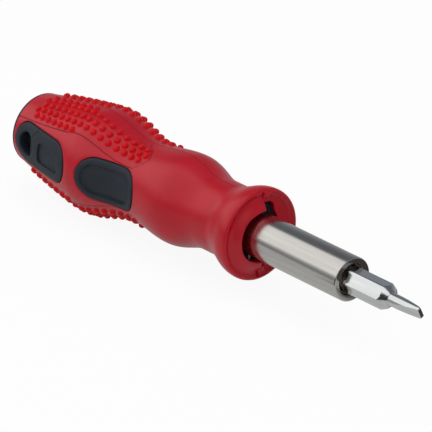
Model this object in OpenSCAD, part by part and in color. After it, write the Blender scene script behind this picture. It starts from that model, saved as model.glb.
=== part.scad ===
// Pocket screwdriver with a nubbed rubber grip, a reversible round shaft and two double-ended hex bits.
// Millimetres. The origin is the centre of the lanyard hole, +X runs along the shaft to the blade,
// +Y is the lanyard hole's axis and the XZ plane is the parting plane of the moulded handle.

/* [Handle] */
// Length of the moulded handle, from its dark end to the front rim
handle_length = 89.7; // [86:0.1:110]
// Lanyard hole centre to the rear end of the handle
hole_to_end = 7.7; // [6.5:0.1:10]
// Largest diameter of the front flange
flange_d = 25.2; // [24:0.1:30]
// Front rim to the widest place of the flange
flange_at = 1.5; // [1:0.1:2.5]
// Smallest diameter of the neck behind the flange
neck_d = 19.6; // [19:0.1:22]
// Front rim to the front of the neck
neck_at = 11.2; // [10:0.1:13]
// Length of the neck's straight part
neck_length = 5; // [3:0.1:7]
// Diameter of the front lobe
front_lobe_d = 25.1; // [23:0.1:30]
// Front rim to the front lobe
front_lobe_at = 28.8; // [26:0.1:31]
// Smallest diameter of the waist between the lobes
waist_d = 22; // [20:0.1:24]
// Front rim to the waist
waist_at = 43.3; // [40:0.1:46]
// Diameter of the rear lobe, without its nubs
rear_lobe_d = 28.8; // [26:0.1:34]
// Front rim to the rear lobe
rear_lobe_at = 61.5; // [57:0.1:64]
// Diameter of the rear end where the rubber stops
end_d = 19.8; // [18:0.1:22]
// Depth of the dark end that stands out of the rubber
end_cap_depth = 1.1; // [0.8:0.1:3]
// How fast the rear lobe falls away to the end, as a power
rear_fall_power = 1.2; // [1.1:0.05:1.8]

/* [Rubber] */
// Thickness of the rubber over the core
rubber_t = 2.2; // [1.5:0.1:2.6]
// Rounding of the front rim
rim_round = 0.8; // [0.4:0.1:1.2]
// Depth of the dished face on the far side
dish_depth = 2.3; // [1.5:0.1:3]
// Depth of the shallow trough on the near side
trough_depth = 0.9; // [0.4:0.1:1.5]
// Height of the near collar above the rim
collar_rise = 1.1; // [0.5:0.1:1.6]
// Width of the collar's flat top
collar_w = 0.9; // [0.5:0.1:1.5]
// Place of the step across the dished face, from the parting plane
step_at = 1.0; // [0:0.1:1.5]
// Width of the short rib beside the step
rib_w = 1.9; // [1:0.1:2.5]

/* [Windows] */
// Half height of the middle window, which is also the radius of its round ends
mid_window_half = 5.9; // [5:0.1:6.5]
// Straight length of the middle window
mid_window_straight = 8.7; // [7:0.1:11]
// Front rim to the rear end of the middle window's straight sides
mid_window_at = 52.4; // [51:0.1:54]
// Half height of the rear window, which is also the radius of its round ends
rear_window_half = 5.8; // [5:0.1:6.2]
// Straight length of the rear window, from the middle of the lanyard hole
rear_window_straight = 13.4; // [11:0.1:15]
// How far the charcoal pads stand out of the rubber
pad_proud = 0.2; // [0.1:0.05:0.4]
// Depth of the panels sunk in the pads
panel_depth = 0.6; // [0.3:0.1:1]
// Width of the border round the panel in the middle window
mid_border = 1.7; // [1.2:0.1:2.4]
// Width of the border round the panel in the rear window
rear_border = 3; // [2:0.1:3.5]
// Middle of the lanyard hole to the panel in the rear window
rear_panel_at = 6.2; // [5:0.1:8]

/* [Lanyard hole] */
// Diameter of the lanyard hole
hole_d = 6.5; // [5:0.1:7]
// Lead-in round the mouths of the lanyard hole
hole_lead = 0.5; // [0.3:0.1:0.8]
// Distance between the mouths of the lanyard hole
hole_length = 19; // [17:0.5:20]

/* [Nubs] */
// Radius of a nub, which is also how far it stands out
nub_r = 0.85; // [0.6:0.05:1]
// How far the foot of a nub reaches into the rubber
nub_root = 1; // [0.5:0.1:1.5]
// Distance between nubs along a row
nub_pitch = 2.8; // [2.6:0.1:3.4]
// Front rim to the first nub of a long row
nub_front_at = 39.5; // [38:0.5:42]
// Rear edge of the rubber to the place where the rows of nubs end
nub_end_margin = 5.5; // [4:0.1:8]
// Front rim to the first nub of the two short rows, which only the rear half has room for
nub_short_at = 64.7; // [62:0.1:70]
// Rows of nubs at the rear, as angles from the seam on top
nub_rows = [46.5, 37, 27.3, 16.8, 8.4]; // [0:0.1:50]
// Angle by which the rows spread where the handle is thinner
nub_spread = 4; // [0:0.5:6]
// Front rim to the place where the rows begin to draw together
nub_spread_at = 50; // [46:0.5:56]

/* [Shaft] */
// Outside diameter of the round shaft tube
tube_d = 11.9; // [11.2:0.05:12.2]
// Wall of the shaft tube
tube_wall = 1.6; // [1.4:0.05:1.7]
// Length of the shaft tube
tube_length = 80; // [74:0.5:84]
// Front rim to the cross pin, which is in the middle of the tube
pin_at = 5; // [4.5:0.1:6]
// Chamfer on the ends of the tube
tube_chamfer = 0.35; // [0.2:0.05:0.5]
// Radial running clearance between the tube and the handle
shaft_clearance = 0.06; // [0.02:0.01:0.1]
// Diameter of the cross pin that carries the torque
pin_d = 3; // [2.5:0.1:3.2]
// Wall of the core's nose that covers each end of the cross pin
pin_cover = 0.6; // [0.5:0.1:0.9]
// Gap round the cross pin in its slot
pin_gap = 0.3; // [0.2:0.05:0.5]
// Thickness of the snap ring that holds the shaft in the handle
snap_ring_t = 1; // [0.8:0.1:1.4]
// Radial width of the snap ring
snap_ring_w = 0.8; // [0.6:0.1:0.9]
// Front rim to the snap ring
snap_ring_at = 27; // [24:0.5:32]

/* [Bits] */
// Thinnest wall of a socket, at the corners of its hexagon: it leaves room for a 6.35 hexagon
socket_web = 0.54; // [0.5:0.005:0.7]
// Length of the hex body of a bit
hex_length = 31.4; // [28:0.2:34]
// Length of hex that shows in front of the tube
hex_show = 14.8; // [12:0.1:15]
// Length of the round end with the blade
blade_length = 10.7; // [10.1:0.1:15]
// Diameter of the neck behind the blade
neck_of_bit_d = 3.5; // [3.2:0.1:4.6]
// Width of the flat ring between a bit's neck and its chamfered shoulder
bit_face_w = 0.2; // [0.1:0.05:0.8]
// Length of the cone from the corners of a bit's hexagon to that ring
bit_shoulder = 1.9; // [1.5:0.1:3]
// Thickness of the flat blade at its tip
blade_t = 1; // [0.6:0.05:1.2]
// Length over which the blade is ground flat
blade_grind = 9.8; // [8:0.1:10]
// Rounding of the corners of the blade's tip
tip_round = 0.6; // [0.3:0.1:0.8]
// Turn of the flat blade about the tool, from lying level
blade_turn = 60; // [0:30:90]
// Length of the cone at the cross-point end
cross_cone_length = 4.2; // [4:0.1:6]
// Diameter of the cross point's flat tip
cross_tip_d = 1.6; // [1.2:0.1:2]
// Diameter across the bottoms of the cross point's grooves, at its tip
cross_core_d = 1; // [0.8:0.1:1.4]
// Clearance between the bit and its hex socket, on each side
bit_clearance = 0.1; // [0.05:0.01:0.15]
// Depth of the socket's face inside the mouth of the tube
socket_recess = 1.3; // [1:0.1:2]
// Thickness of the socket's end wall, which stops the bit
socket_wall = 1.5; // [1:0.1:2]
// Thickness of the spring ring that a bit carries, which grips the socket
bit_ring_t = 0.8; // [0.6:0.1:1]
// Depth of the ring's groove in the bit
bit_groove = 0.5; // [0.3:0.05:0.6]

/* [Hidden] */
$fn = 48;

// Cuts run past the solids that they cut by this much
overrun = 2;
// Steps along each stretch of the handle's profile
profile_steps = 8;
// Gap between the rubber collar and the tube
collar_gap = 1.4;
// Gap between a bit's round end and the hole in its socket's end wall
socket_wall_gap = 0.5;
// Gap between the sockets' outside and the tube's bore
socket_gap = 0.03;
// Slack behind the tube
rear_slack = 0.3;
// Room on each side of the snap ring in its groove
snap_play = 0.1;
// Slack behind the stored bit before it meets the end of its pocket
stored_slack = 2.5;
// Gap round the stored bit in the bore behind the tube
pocket_gap = 0.7;
// How far the round ends of a bit reach into its hex
bit_root = 1;
// Wall of the core's nose round the tube
nose_wall = 2.5;
// Radial gap between a spring ring and the bit and socket that it sits between
ring_gap = 0.05;

shaft_bore_r = tube_d / 2 + shaft_clearance;
rim_x = handle_length - hole_to_end;
end_x = -hole_to_end;
tube_mid_x = rim_x - pin_at;
tube_end_x = tube_mid_x + tube_length / 2;
tube_rear_x = tube_mid_x - tube_length / 2;
tube_bore_d = tube_d - 2 * tube_wall;
nose_r = shaft_bore_r + nose_wall;
pin_length = 2 * (nose_r - pin_cover);
socket_corner_r = tube_bore_d / 2 - socket_gap - socket_web;
bit_af = 2 * socket_corner_r * cos(30) - 2 * bit_clearance;
hex_corner_r = bit_af / 2 / cos(30);
pocket_r = hex_corner_r + pocket_gap;
hex_seat = hex_length - hex_show;
socket_length = hex_seat - socket_recess + socket_wall;
bit_reach = hex_show + blade_length;
bit_ring_x = -socket_recess - (socket_length - socket_wall) / 2;
slot_w = pin_d + 2 * pin_gap;
nose_x = rim_x - dish_depth;
rubber_end_at = handle_length - end_cap_depth;
nub_rear_at = rubber_end_at - nub_end_margin;
neck_end_at = neck_at + neck_length;
collar_r = tube_d / 2 + collar_gap + collar_w;
trough_r = (collar_r + flange_d / 2) / 2;

// Height of a half-cosine blend from a to b, for t from 0 to 1
function blend(a, b, t) = a + (b - a) * (1 - cos(180 * t)) / 2;
// Share of the fall from the rear lobe to the end, s behind the front rim
function rear_fall(s) = pow((s - rear_lobe_at) / (rubber_end_at - rear_lobe_at), rear_fall_power);
// Radius of the handle's outside, s behind the front rim
function body_r(s) =
    s < flange_at ? flange_d / 2 :
    s < neck_at ? blend(flange_d, neck_d, (s - flange_at) / (neck_at - flange_at)) / 2 :
    s < neck_end_at ? neck_d / 2 :
    s < front_lobe_at ? blend(neck_d, front_lobe_d, (s - neck_end_at) / (front_lobe_at - neck_end_at)) / 2 :
    s < waist_at ? blend(front_lobe_d, waist_d, (s - front_lobe_at) / (waist_at - front_lobe_at)) / 2 :
    s < rear_lobe_at ? blend(waist_d, rear_lobe_d, (s - waist_at) / (rear_lobe_at - waist_at)) / 2 :
    (rear_lobe_d - (rear_lobe_d - end_d) * rear_fall(s)) / 2;

// Stations along the profile, behind the rim, from the flange to the end of the rubber
stretches = [flange_at, neck_at, neck_end_at, front_lobe_at, waist_at, rear_lobe_at, rubber_end_at];
stations = [for (k = [0:len(stretches) - 2]) for (i = [0:profile_steps - 1])
    stretches[k] + (stretches[k + 1] - stretches[k]) * i / profile_steps];

// Lays a shape that was turned about Z along the tool: its Z becomes +X
module along_x(x) {
    translate([x, 0, 0]) rotate([0, 90, 0]) children();
}

// Solid of revolution of the handle's outside moved out by grow, from the rim back to the rubber's end
module body_form(grow) {
    front = [for (a = [0:30:90])
        [flange_d / 2 - rim_round + grow + rim_round * sin(a), rim_round * cos(a) - rim_round]];
    back = [for (s = stations) if (s > rim_round) [body_r(s) + grow, -s]];
    last = [[body_r(rubber_end_at) + grow, -rubber_end_at], [0, -rubber_end_at]];
    along_x(rim_x) rotate_extrude() polygon(concat([[0, 0]], front, back, last));
}

// A prism across the handle from a drawing in the XZ plane, through both sides
module across() {
    rotate([90, 0, 0]) linear_extrude(height = 2 * flange_d, center = true) children();
}

// Outline of a window in the XZ plane, with round ends: from x forward over its straight length
module window_outline(x, straight, r) {
    translate([x, 0]) circle(r = r);
    translate([x + straight, 0]) circle(r = r);
    translate([x, -r]) square([straight, 2 * r]);
}

module mid_window(inset) {
    across() window_outline(rim_x - mid_window_at, mid_window_straight, mid_window_half - inset);
}

module rear_window(inset) {
    across() window_outline(0, rear_window_straight, rear_window_half - inset);
}

module rear_panel() {
    across() intersection() {
        window_outline(0, rear_window_straight, rear_window_half - rear_border);
        translate([rear_panel_at, -rear_window_half]) square([rear_window_straight, 2 * rear_window_half]);
    }
}

// The hard core without its bores, which is also what the rubber leaves free
module core_form() {
    along_x(rim_x) rotate_extrude() polygon(concat(
        [[0, -dish_depth], [nose_r, -dish_depth], [nose_r, -flange_at - dish_depth]],
        [for (s = stations) if (s > neck_at - 0.5 * (neck_at - flange_at)) [body_r(s) - rubber_t, -s]],
        [[body_r(rubber_end_at) - rubber_t, -rubber_end_at], [0, -rubber_end_at]]));
    end_cap();
    intersection() {
        body_form(pad_proud);
        union() {
            mid_window(0);
            rear_window(0);
        }
    }
}

// The dark end: a short drum with a rounded edge and a shallow dome
module end_cap() {
    edge = end_cap_depth / 2;
    r = end_d / 2;
    along_x(end_x) rotate_extrude() polygon(concat(
        [[0, end_cap_depth + rubber_t], [r - rubber_t, end_cap_depth + rubber_t],
         [r - rubber_t, end_cap_depth], [r, end_cap_depth]],
        [for (a = [0:15:90]) [r - edge + edge * cos(a), edge - edge * sin(a) + edge / 2 * (1 - sin(a))]],
        [[0, 0]]));
}

module handle_core() {
    color("darkslategray") difference() {
        core_form();
        difference() {
            union() {
                mid_window(mid_border);
                rear_panel();
            }
            body_form(pad_proud - panel_depth);
        }
        along_x(tube_rear_x - rear_slack) cylinder(r = shaft_bore_r, h = tube_length);
        along_x(tube_rear_x - bit_reach - stored_slack) cylinder(r = pocket_r, h = tube_length);
        slot();
        along_x(rim_x - snap_ring_at - snap_ring_t)
            cylinder(r = shaft_bore_r + snap_ring_w, h = snap_ring_t + 2 * snap_play);
        lanyard_hole();
    }
}

// Slot across the core's nose that takes the cross pin
module slot() {
    slot_end = tube_mid_x - pin_d / 2 - pin_gap;
    translate([slot_end, -slot_w / 2, -pin_length / 2 - pin_gap])
        cube([rim_x - slot_end, slot_w, pin_length + 2 * pin_gap]);
}

module lanyard_hole() {
    rotate([90, 0, 0]) cylinder(d = hole_d, h = 2 * flange_d, center = true);
    for (side = [0, 180]) rotate([0, 0, side]) translate([0, hole_length / 2 - hole_lead, 0])
        rotate([-90, 0, 0])
            cylinder(r1 = hole_d / 2, r2 = hole_d / 2 + hole_lead + overrun, h = hole_lead + overrun);
}

// What the dished front face leaves free on the far side: a cone down to the nose
module far_dish() {
    intersection() {
        along_x(rim_x) rotate_extrude() polygon([
            [0, overrun], [flange_d / 2 - rim_round, overrun], [flange_d / 2 - rim_round, 0],
            [nose_r, -dish_depth], [0, -dish_depth]]);
        difference() {
            translate([rim_x - flange_d / 2, step_at, -flange_d]) cube([flange_d, flange_d, 2 * flange_d]);
            translate([rim_x - flange_d, 0, nose_r])
                cube([flange_d - trough_depth / 2, step_at + rib_w, flange_d]);
        }
    }
}

// What the near side leaves free: a shallow trough round the collar
module near_trough() {
    along_x(rim_x) rotate_extrude() polygon([
        [collar_r, collar_rise + overrun], [collar_r, collar_rise], [trough_r, -trough_depth],
        [flange_d / 2 - rim_round, 0], [flange_d / 2, collar_rise + overrun]]);
}

// Rubber that climbs the nose on the near side
module collar_block() {
    intersection() {
        along_x(nose_x) cylinder(r = trough_r, h = dish_depth + collar_rise);
        translate([nose_x, step_at - flange_d, -flange_d / 2]) cube([flange_d, flange_d, flange_d]);
    }
}

// One domed nub on the surface, s behind the rim, at an angle round the X axis from the top
module nub(s, angle) {
    translate([rim_x - s, 0, 0]) rotate([angle, 0, 0]) translate([0, 0, body_r(s)]) {
        sphere(r = nub_r);
        translate([0, 0, -nub_root]) cylinder(r = nub_r, h = nub_root);
    }
}

// Extra angle of a row, s behind the rim
function spread_at(s) = s < nub_spread_at ? nub_spread :
    s < nub_short_at ? blend(nub_spread, 0, (s - nub_spread_at) / (nub_short_at - nub_spread_at)) : 0;

// One field of nubs: rows along the tool, each half a pitch along from the next
module nub_field() {
    for (row = [0:len(nub_rows) - 1]) {
        short = row == 0 || row == len(nub_rows) - 1;
        start = short ? nub_short_at : nub_front_at + (row % 2) * nub_pitch / 2;
        for (s = [start:nub_pitch:nub_rear_at]) nub(s, nub_rows[row] + spread_at(s));
    }
}

module soft_grip() {
    color("firebrick") union() {
        difference() {
            union() {
                body_form(0);
                collar_block();
            }
            core_form();
            along_x(nose_x - overrun)
                cylinder(r = tube_d / 2 + collar_gap, h = dish_depth + collar_rise + 2 * overrun);
            far_dish();
            near_trough();
        }
        for (turn = [0, 180]) rotate([turn, 0, 0]) {
            nub_field();
            mirror([0, 1, 0]) nub_field();
        }
    }
}

module shaft_tube() {
    color("silver") difference() {
        along_x(tube_rear_x) rotate_extrude() polygon([
            [tube_bore_d / 2, 0], [tube_d / 2 - tube_chamfer, 0], [tube_d / 2, tube_chamfer],
            [tube_d / 2, tube_length - tube_chamfer], [tube_d / 2 - tube_chamfer, tube_length],
            [tube_bore_d / 2, tube_length]]);
        translate([tube_mid_x, 0, 0]) cylinder(d = pin_d, h = 2 * tube_d, center = true);
    }
}

// Places what belongs to one end of the shaft: 1 for the front end and -1 for the rear end
module at_end(side) {
    translate([tube_mid_x, 0, 0]) mirror([side < 0 ? 1 : 0, 0, 0])
        translate([tube_length / 2, 0, 0]) children();
}

// A hex socket pressed into the tube, with an end wall that stops the bit
module socket() {
    difference() {
        along_x(-socket_recess - socket_length) cylinder(d = tube_bore_d - 2 * socket_gap, h = socket_length);
        along_x(-socket_recess - socket_length + socket_wall)
            rotate([0, 0, 30]) cylinder(r = socket_corner_r, h = socket_length, $fn = 6);
        along_x(-socket_recess - socket_length - overrun)
            cylinder(d = neck_of_bit_d + 2 * socket_wall_gap, h = socket_length);
    }
}

// A split spring ring in the groove of a bit, between the bit and the flats of its socket
module bit_ring() {
    along_x(bit_ring_x - bit_ring_t / 2) difference() {
        cylinder(r = bit_af / 2 + bit_clearance - ring_gap, h = bit_ring_t);
        translate([0, 0, -overrun])
            cylinder(r = bit_af / 2 - bit_groove + ring_gap, h = 2 * overrun + bit_ring_t);
        translate([0, -bit_ring_t / 2, -overrun])
            cube([hex_corner_r, bit_ring_t, 2 * overrun + bit_ring_t]);
    }
}

// Flat blade end of a bit: a round neck ground to a wedge on two sides, with its root inside the hex
module slot_blade() {
    grind_slope = (neck_of_bit_d - blade_t) / 2 / blade_grind;
    difference() {
        along_x(0) rotate_extrude() polygon(concat(
            [[0, -bit_root], [neck_of_bit_d / 2, -bit_root]],
            [for (a = [0:30:90]) [neck_of_bit_d / 2 - tip_round + tip_round * cos(a),
                blade_length - tip_round + tip_round * sin(a)]],
            [[0, blade_length]]));
        rotate([-blade_turn, 0, 0]) for (side = [0, 1]) mirror([0, 0, side]) across() polygon([
            [blade_length - blade_grind - bit_root, neck_of_bit_d / 2 + grind_slope * bit_root],
            [blade_length + bit_root, blade_t / 2 - grind_slope * bit_root],
            [blade_length + bit_root, neck_of_bit_d]]);
    }
}

// Cross-point end of a bit: a cone with four V grooves that leave a cross at the tip
module cross_point() {
    cone_at = blade_length - cross_cone_length;
    groove_tilt = atan((neck_of_bit_d - cross_core_d) / 2 / cross_cone_length);
    difference() {
        along_x(0) rotate_extrude() polygon([
            [0, -bit_root], [neck_of_bit_d / 2, -bit_root], [neck_of_bit_d / 2, cone_at],
            [cross_tip_d / 2, blade_length], [0, blade_length]]);
        for (turn = [45:90:315]) rotate([turn, 0, 0]) translate([cone_at, 0, neck_of_bit_d / 2])
            rotate([0, groove_tilt, 0]) translate([-bit_root, 0, 0]) rotate([45, 0, 0])
            cube([blade_length, neck_of_bit_d, neck_of_bit_d]);
    }
}

// A double-ended bit, its flat blade forward, measured from the tube's end face
module bit() {
    face_r = neck_of_bit_d / 2 + bit_face_w;
    outer_r = hex_corner_r + bit_root;
    cone_length = (outer_r - face_r) * bit_shoulder / (hex_corner_r - face_r);
    difference() {
        intersection() {
            along_x(-hex_seat) rotate([0, 0, 30]) cylinder(r = hex_corner_r, h = hex_length, $fn = 6);
            along_x(-hex_seat) rotate_extrude() polygon([
                [0, 0], [face_r, 0], [outer_r, cone_length],
                [outer_r, hex_length - cone_length], [face_r, hex_length], [0, hex_length]]);
        }
        along_x(bit_ring_x - bit_ring_t / 2 - bit_clearance) difference() {
            cylinder(r = outer_r, h = bit_ring_t + 2 * bit_clearance);
            cylinder(r = bit_af / 2 - bit_groove, h = bit_ring_t + 2 * bit_clearance);
        }
    }
    translate([hex_show, 0, 0]) slot_blade();
    translate([-hex_seat, 0, 0]) mirror([1, 0, 0]) cross_point();
}

module front_socket() {
    color("rosybrown") at_end(1) socket();
}

module rear_socket() {
    color("rosybrown") at_end(-1) socket();
}

module front_bit() {
    color("gainsboro") at_end(1) bit();
}

module rear_bit() {
    color("gainsboro") at_end(-1) bit();
}

module front_bit_ring() {
    color("goldenrod") at_end(1) bit_ring();
}

module rear_bit_ring() {
    color("goldenrod") at_end(-1) bit_ring();
}

module drive_pin() {
    color("dimgray") translate([tube_mid_x, 0, 0]) cylinder(d = pin_d, h = pin_length, center = true);
}

// A split spring ring in the handle's bore
module snap_ring() {
    color("gray") along_x(rim_x - snap_ring_at - snap_ring_t + snap_play) difference() {
        cylinder(r = shaft_bore_r + snap_ring_w, h = snap_ring_t);
        translate([0, 0, -overrun]) cylinder(r = shaft_bore_r, h = 2 * overrun + snap_ring_t);
        translate([0, -snap_ring_w, -overrun]) cube([tube_d, 2 * snap_ring_w, 2 * overrun + snap_ring_t]);
    }
}

handle_core();
soft_grip();
shaft_tube();
front_socket();
rear_socket();
front_bit();
rear_bit();
front_bit_ring();
rear_bit_ring();
drive_pin();
snap_ring();
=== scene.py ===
"""Pocket screwdriver with a nubbed rubber grip, charcoal pads, a round shaft and double-ended hex bits.

Sizes are in millimetres until a mesh is made. X runs forward along the tool from the middle of the
lanyard hole, -Y is the near side, Z is up. Angles round the tool start at the near side and grow
towards the top.
"""
import math

import bpy
import numpy as np
from mathutils import Matrix, Vector


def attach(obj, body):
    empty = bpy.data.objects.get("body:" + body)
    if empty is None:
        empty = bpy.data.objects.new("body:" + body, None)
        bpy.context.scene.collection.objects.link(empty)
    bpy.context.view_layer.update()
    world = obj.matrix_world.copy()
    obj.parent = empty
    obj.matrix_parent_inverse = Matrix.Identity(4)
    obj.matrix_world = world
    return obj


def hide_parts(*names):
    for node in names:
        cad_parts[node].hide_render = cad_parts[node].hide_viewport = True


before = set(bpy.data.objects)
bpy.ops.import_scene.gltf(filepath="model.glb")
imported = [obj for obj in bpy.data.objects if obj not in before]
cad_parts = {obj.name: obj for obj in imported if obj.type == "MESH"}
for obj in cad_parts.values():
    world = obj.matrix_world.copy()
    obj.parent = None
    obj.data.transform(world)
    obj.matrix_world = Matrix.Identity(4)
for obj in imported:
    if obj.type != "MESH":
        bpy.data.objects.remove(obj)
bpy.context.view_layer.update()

MM = 0.001
TAU = 2 * math.pi
# Points closer than this become one
WELD = 1e-4

# The handle's outside: distances behind the front rim and radii, joined by half-cosine blends
RIM_X = 82.0
BLEND_AT = (1.5, 11.2, 16.2, 28.8, 43.3, 61.5)
BLEND_R = (12.6, 9.8, 9.8, 12.55, 11.0, 14.4)
RUBBER_END = 88.6
END_R, END_X = 9.9, -7.7
FALL_POWER = 1.2
RUBBER_T = 2.0

# The windows: half height, and the X of the middles of their two round ends
MID_R, MID_XA, MID_XB = 5.9, 29.6, 38.3
REAR_R, REAR_XA, REAR_XB = 5.8, 0.0, 13.4
HOLE_R = 3.25
HOLE_LEAD = 0.5

# Lower edge of a field of nubs: distance behind the rim and angle from the window's middle
FIELD_AT = (36.0, 41.6, 47.0, 51.0, 54.0, 57.0, 60.0, 63.5, 66.5, 70.0, 73.6, 78.0, 84.0, 88.1)
FIELD_DEG = (36.0, 34.7, 34.3, 36.6, 39.0, 41.0, 42.0, 41.6, 38.6, 37.3, 36.2, 34.9, 33.8, 33.2)
# Front edge of a field: angle and distance behind the rim
FRONT_DEG = (34.0, 39.0, 47.0, 57.0, 69.0, 80.0, 90.0)
FRONT_AT = (43.0, 40.0, 38.7, 37.8, 39.1, 42.0, 45.0)

# Nubs
NUB_R = 0.88
NUB_H = 0.86
NUB_PITCH = 2.8
NUB_FRONT = 39.5
NUB_SHORT = 64.7
NUB_END = 83.1
NUB_ROWS = (46.5, 37.0, 27.3, 16.8, 8.4)
NUB_SPREAD = 4.0
NUB_SPREAD_AT = 50.0
# A nub's foot, as radius past its own and height, the height of its widest place, and its sides
NUB_FOOT = np.array([(0.22, -0.06), (0.03, 0.07)])
NUB_BELLY = 0.12
NUB_SIDES = 12

# Shaft and bits, as places along X; a bit's and a socket's own lengths count from the tube's end
TUBE_R, TUBE_BORE = 5.95, 4.35
TUBE_REAR, TUBE_FRONT = 37.0, 117.0
TUBE_MID = (TUBE_REAR + TUBE_FRONT) / 2
SOCKET_BACK = 1.3
SOCKET_LENGTH = 16.8
SOCKET_HOLE = 2.25
BIT_AF = 6.35
BIT_ROUND = 3.63
HEX_SHOW, HEX_SEAT = 14.8, 16.6
NECK_R, FACE_R = 1.75, 1.95
SHOULDER = 1.9
BLADE_LENGTH, BLADE_GRIND = 10.7, 9.8
BLADE_HALF = 0.5
BLADE_TURN = math.radians(-60)
CROSS_CONE = 4.2


# Mesh helpers


def grid_quads(rows, cols, ring=False):
    """Quads of a grid of points numbered row by row; a ring joins the last column to the first."""
    i = np.arange(rows - 1)[:, None]
    j = np.arange(cols if ring else cols - 1)[None, :]
    k = (j + 1) % cols
    return np.stack([i * cols + j, i * cols + k, (i + 1) * cols + k, (i + 1) * cols + j], -1).reshape(-1, 4)


class Shell:
    """Collects grids of points and their quads, then welds them into one mesh."""

    def __init__(self):
        self.points = []
        self.quads = []
        self.marks = []
        self.count = 0

    def add(self, points, ring=False, flip=False, keep=None, mark=None):
        """Adds a grid of shape (rows, cols, 3); keep masks its cells and mark is a value for each point."""
        rows, cols = points.shape[:2]
        quads = grid_quads(rows, cols, ring)
        if keep is not None:
            quads = quads[keep.reshape(-1)]
        if flip:
            quads = quads[:, ::-1]
        self.points.append(points.reshape(-1, 3))
        self.quads.append(quads + self.count)
        self.marks.append(np.broadcast_to(0.0 if mark is None else mark, (rows, cols)).reshape(-1))
        self.count += rows * cols

    def welded(self):
        """Points, faces and marks once points that agree to WELD have become one.

        A cell with two neighbouring corners at one point becomes a triangle, and one with fewer
        than three corners left goes.
        """
        points = np.concatenate(self.points)
        marks = np.concatenate(self.marks)
        _, first, same = np.unique(np.round(points / WELD).astype(np.int64), axis=0, return_index=True,
                                   return_inverse=True)
        quads = same.reshape(-1)[np.concatenate(self.quads)]
        kept = quads != np.roll(quads, 1, axis=1)
        corners = kept.sum(axis=1)
        crossed = (quads[:, 0] == quads[:, 2]) | (quads[:, 1] == quads[:, 3])
        four = quads[(corners == 4) & ~crossed]
        three = (corners == 3) & ~crossed
        faces = four.tolist() + quads[three][kept[three]].reshape(-1, 3).tolist()
        return points[first], faces, marks[first]


def make_piece(name, shell, material, body, nodes=(), crisp=35, attribute=None):
    """Turns a shell into an object that rides on a body; edges sharper than crisp degrees stay crisp."""
    points, faces, marks = shell.welded()
    mesh = bpy.data.meshes.new(name)
    mesh.from_pydata((points * MM).tolist(), [], faces)
    mesh.validate()
    mesh.polygons.foreach_set("use_smooth", np.ones(len(mesh.polygons), bool))
    mesh.update()
    mesh.set_sharp_from_angle(angle=math.radians(crisp))
    if attribute:
        layer = mesh.attributes.new(attribute, "FLOAT", "POINT")
        layer.data.foreach_set("value", marks.astype(np.float32))
    obj = bpy.data.objects.new(name, mesh)
    bpy.context.scene.collection.objects.link(obj)
    mesh.materials.append(material)
    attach(obj, body)
    if nodes:
        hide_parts(*nodes)
    return obj


def smooth_interp(x, at, values):
    """Interpolates a table with half-cosine blends between its entries."""
    at, values = np.asarray(at, float), np.asarray(values, float)
    k = np.clip(np.searchsorted(at, x, side="right") - 1, 0, len(at) - 2)
    t = np.clip((x - at[k]) / (at[k + 1] - at[k]), 0, 1)
    return values[k] + (values[k + 1] - values[k]) * (1 - np.cos(np.pi * t)) / 2


def body_radius(x):
    """Radius of the handle at x: half-cosine blends, then a power fall to the rear end."""
    s = RIM_X - np.asarray(x, float)
    blends = smooth_interp(s, BLEND_AT, BLEND_R)
    fall = np.clip((s - BLEND_AT[-1]) / (RUBBER_END - BLEND_AT[-1]), 0, None) ** FALL_POWER
    return blends - (BLEND_R[-1] - END_R) * fall


def round_body(x, angle, lift=0.0):
    """Points round the handle: x along it, angle from the near side, lift above its surface."""
    r = body_radius(x) + lift
    return np.stack(np.broadcast_arrays(x, -r * np.cos(angle), r * np.sin(angle)), -1)


def seen_from_side(x, z, lift, side):
    """Points of the handle's surface above a drawing in the XZ plane, on side -1 or +1 of it."""
    r = body_radius(x) + lift
    return np.stack(np.broadcast_arrays(x, side * np.sqrt(np.maximum(r ** 2 - z ** 2, 0)), z), -1)


def lathe(x, r, angles):
    """Surface of revolution: a profile of x and r turned through the angles."""
    a = angles[None, :]
    return np.stack(np.broadcast_arrays(x[:, None], -r[:, None] * np.cos(a), r[:, None] * np.sin(a)), -1)


# Materials


class Val:
    """A socket in an expression: arithmetic on it adds Math nodes."""

    def __init__(self, nodes, socket):
        self.nodes = nodes
        self.socket = socket

    def math(self, operation, *values):
        return self.nodes.node("ShaderNodeMath", {"operation": operation}, dict(enumerate((self, *values))))

    def __add__(self, other):
        return self.math("ADD", other)

    def __sub__(self, other):
        return self.math("SUBTRACT", other)

    def __mul__(self, other):
        return self.math("MULTIPLY", other)

    def __rsub__(self, other):
        return self.nodes.node("ShaderNodeMath", {"operation": "SUBTRACT"}, {0: other, 1: self})

    __radd__ = __add__
    __rmul__ = __mul__

    def clip(self):
        return self.nodes.node("ShaderNodeMath", {"operation": "ADD", "use_clamp": True}, {0: self, 1: 0.0})

    def remap(self, low, high, new_low=0.0, new_high=1.0):
        """Linear map from low..high to new_low..new_high, clamped."""
        return self.nodes.node("ShaderNodeMapRange", {"clamp": True},
                               {0: self, 1: low, 2: high, 3: new_low, 4: new_high})


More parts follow.
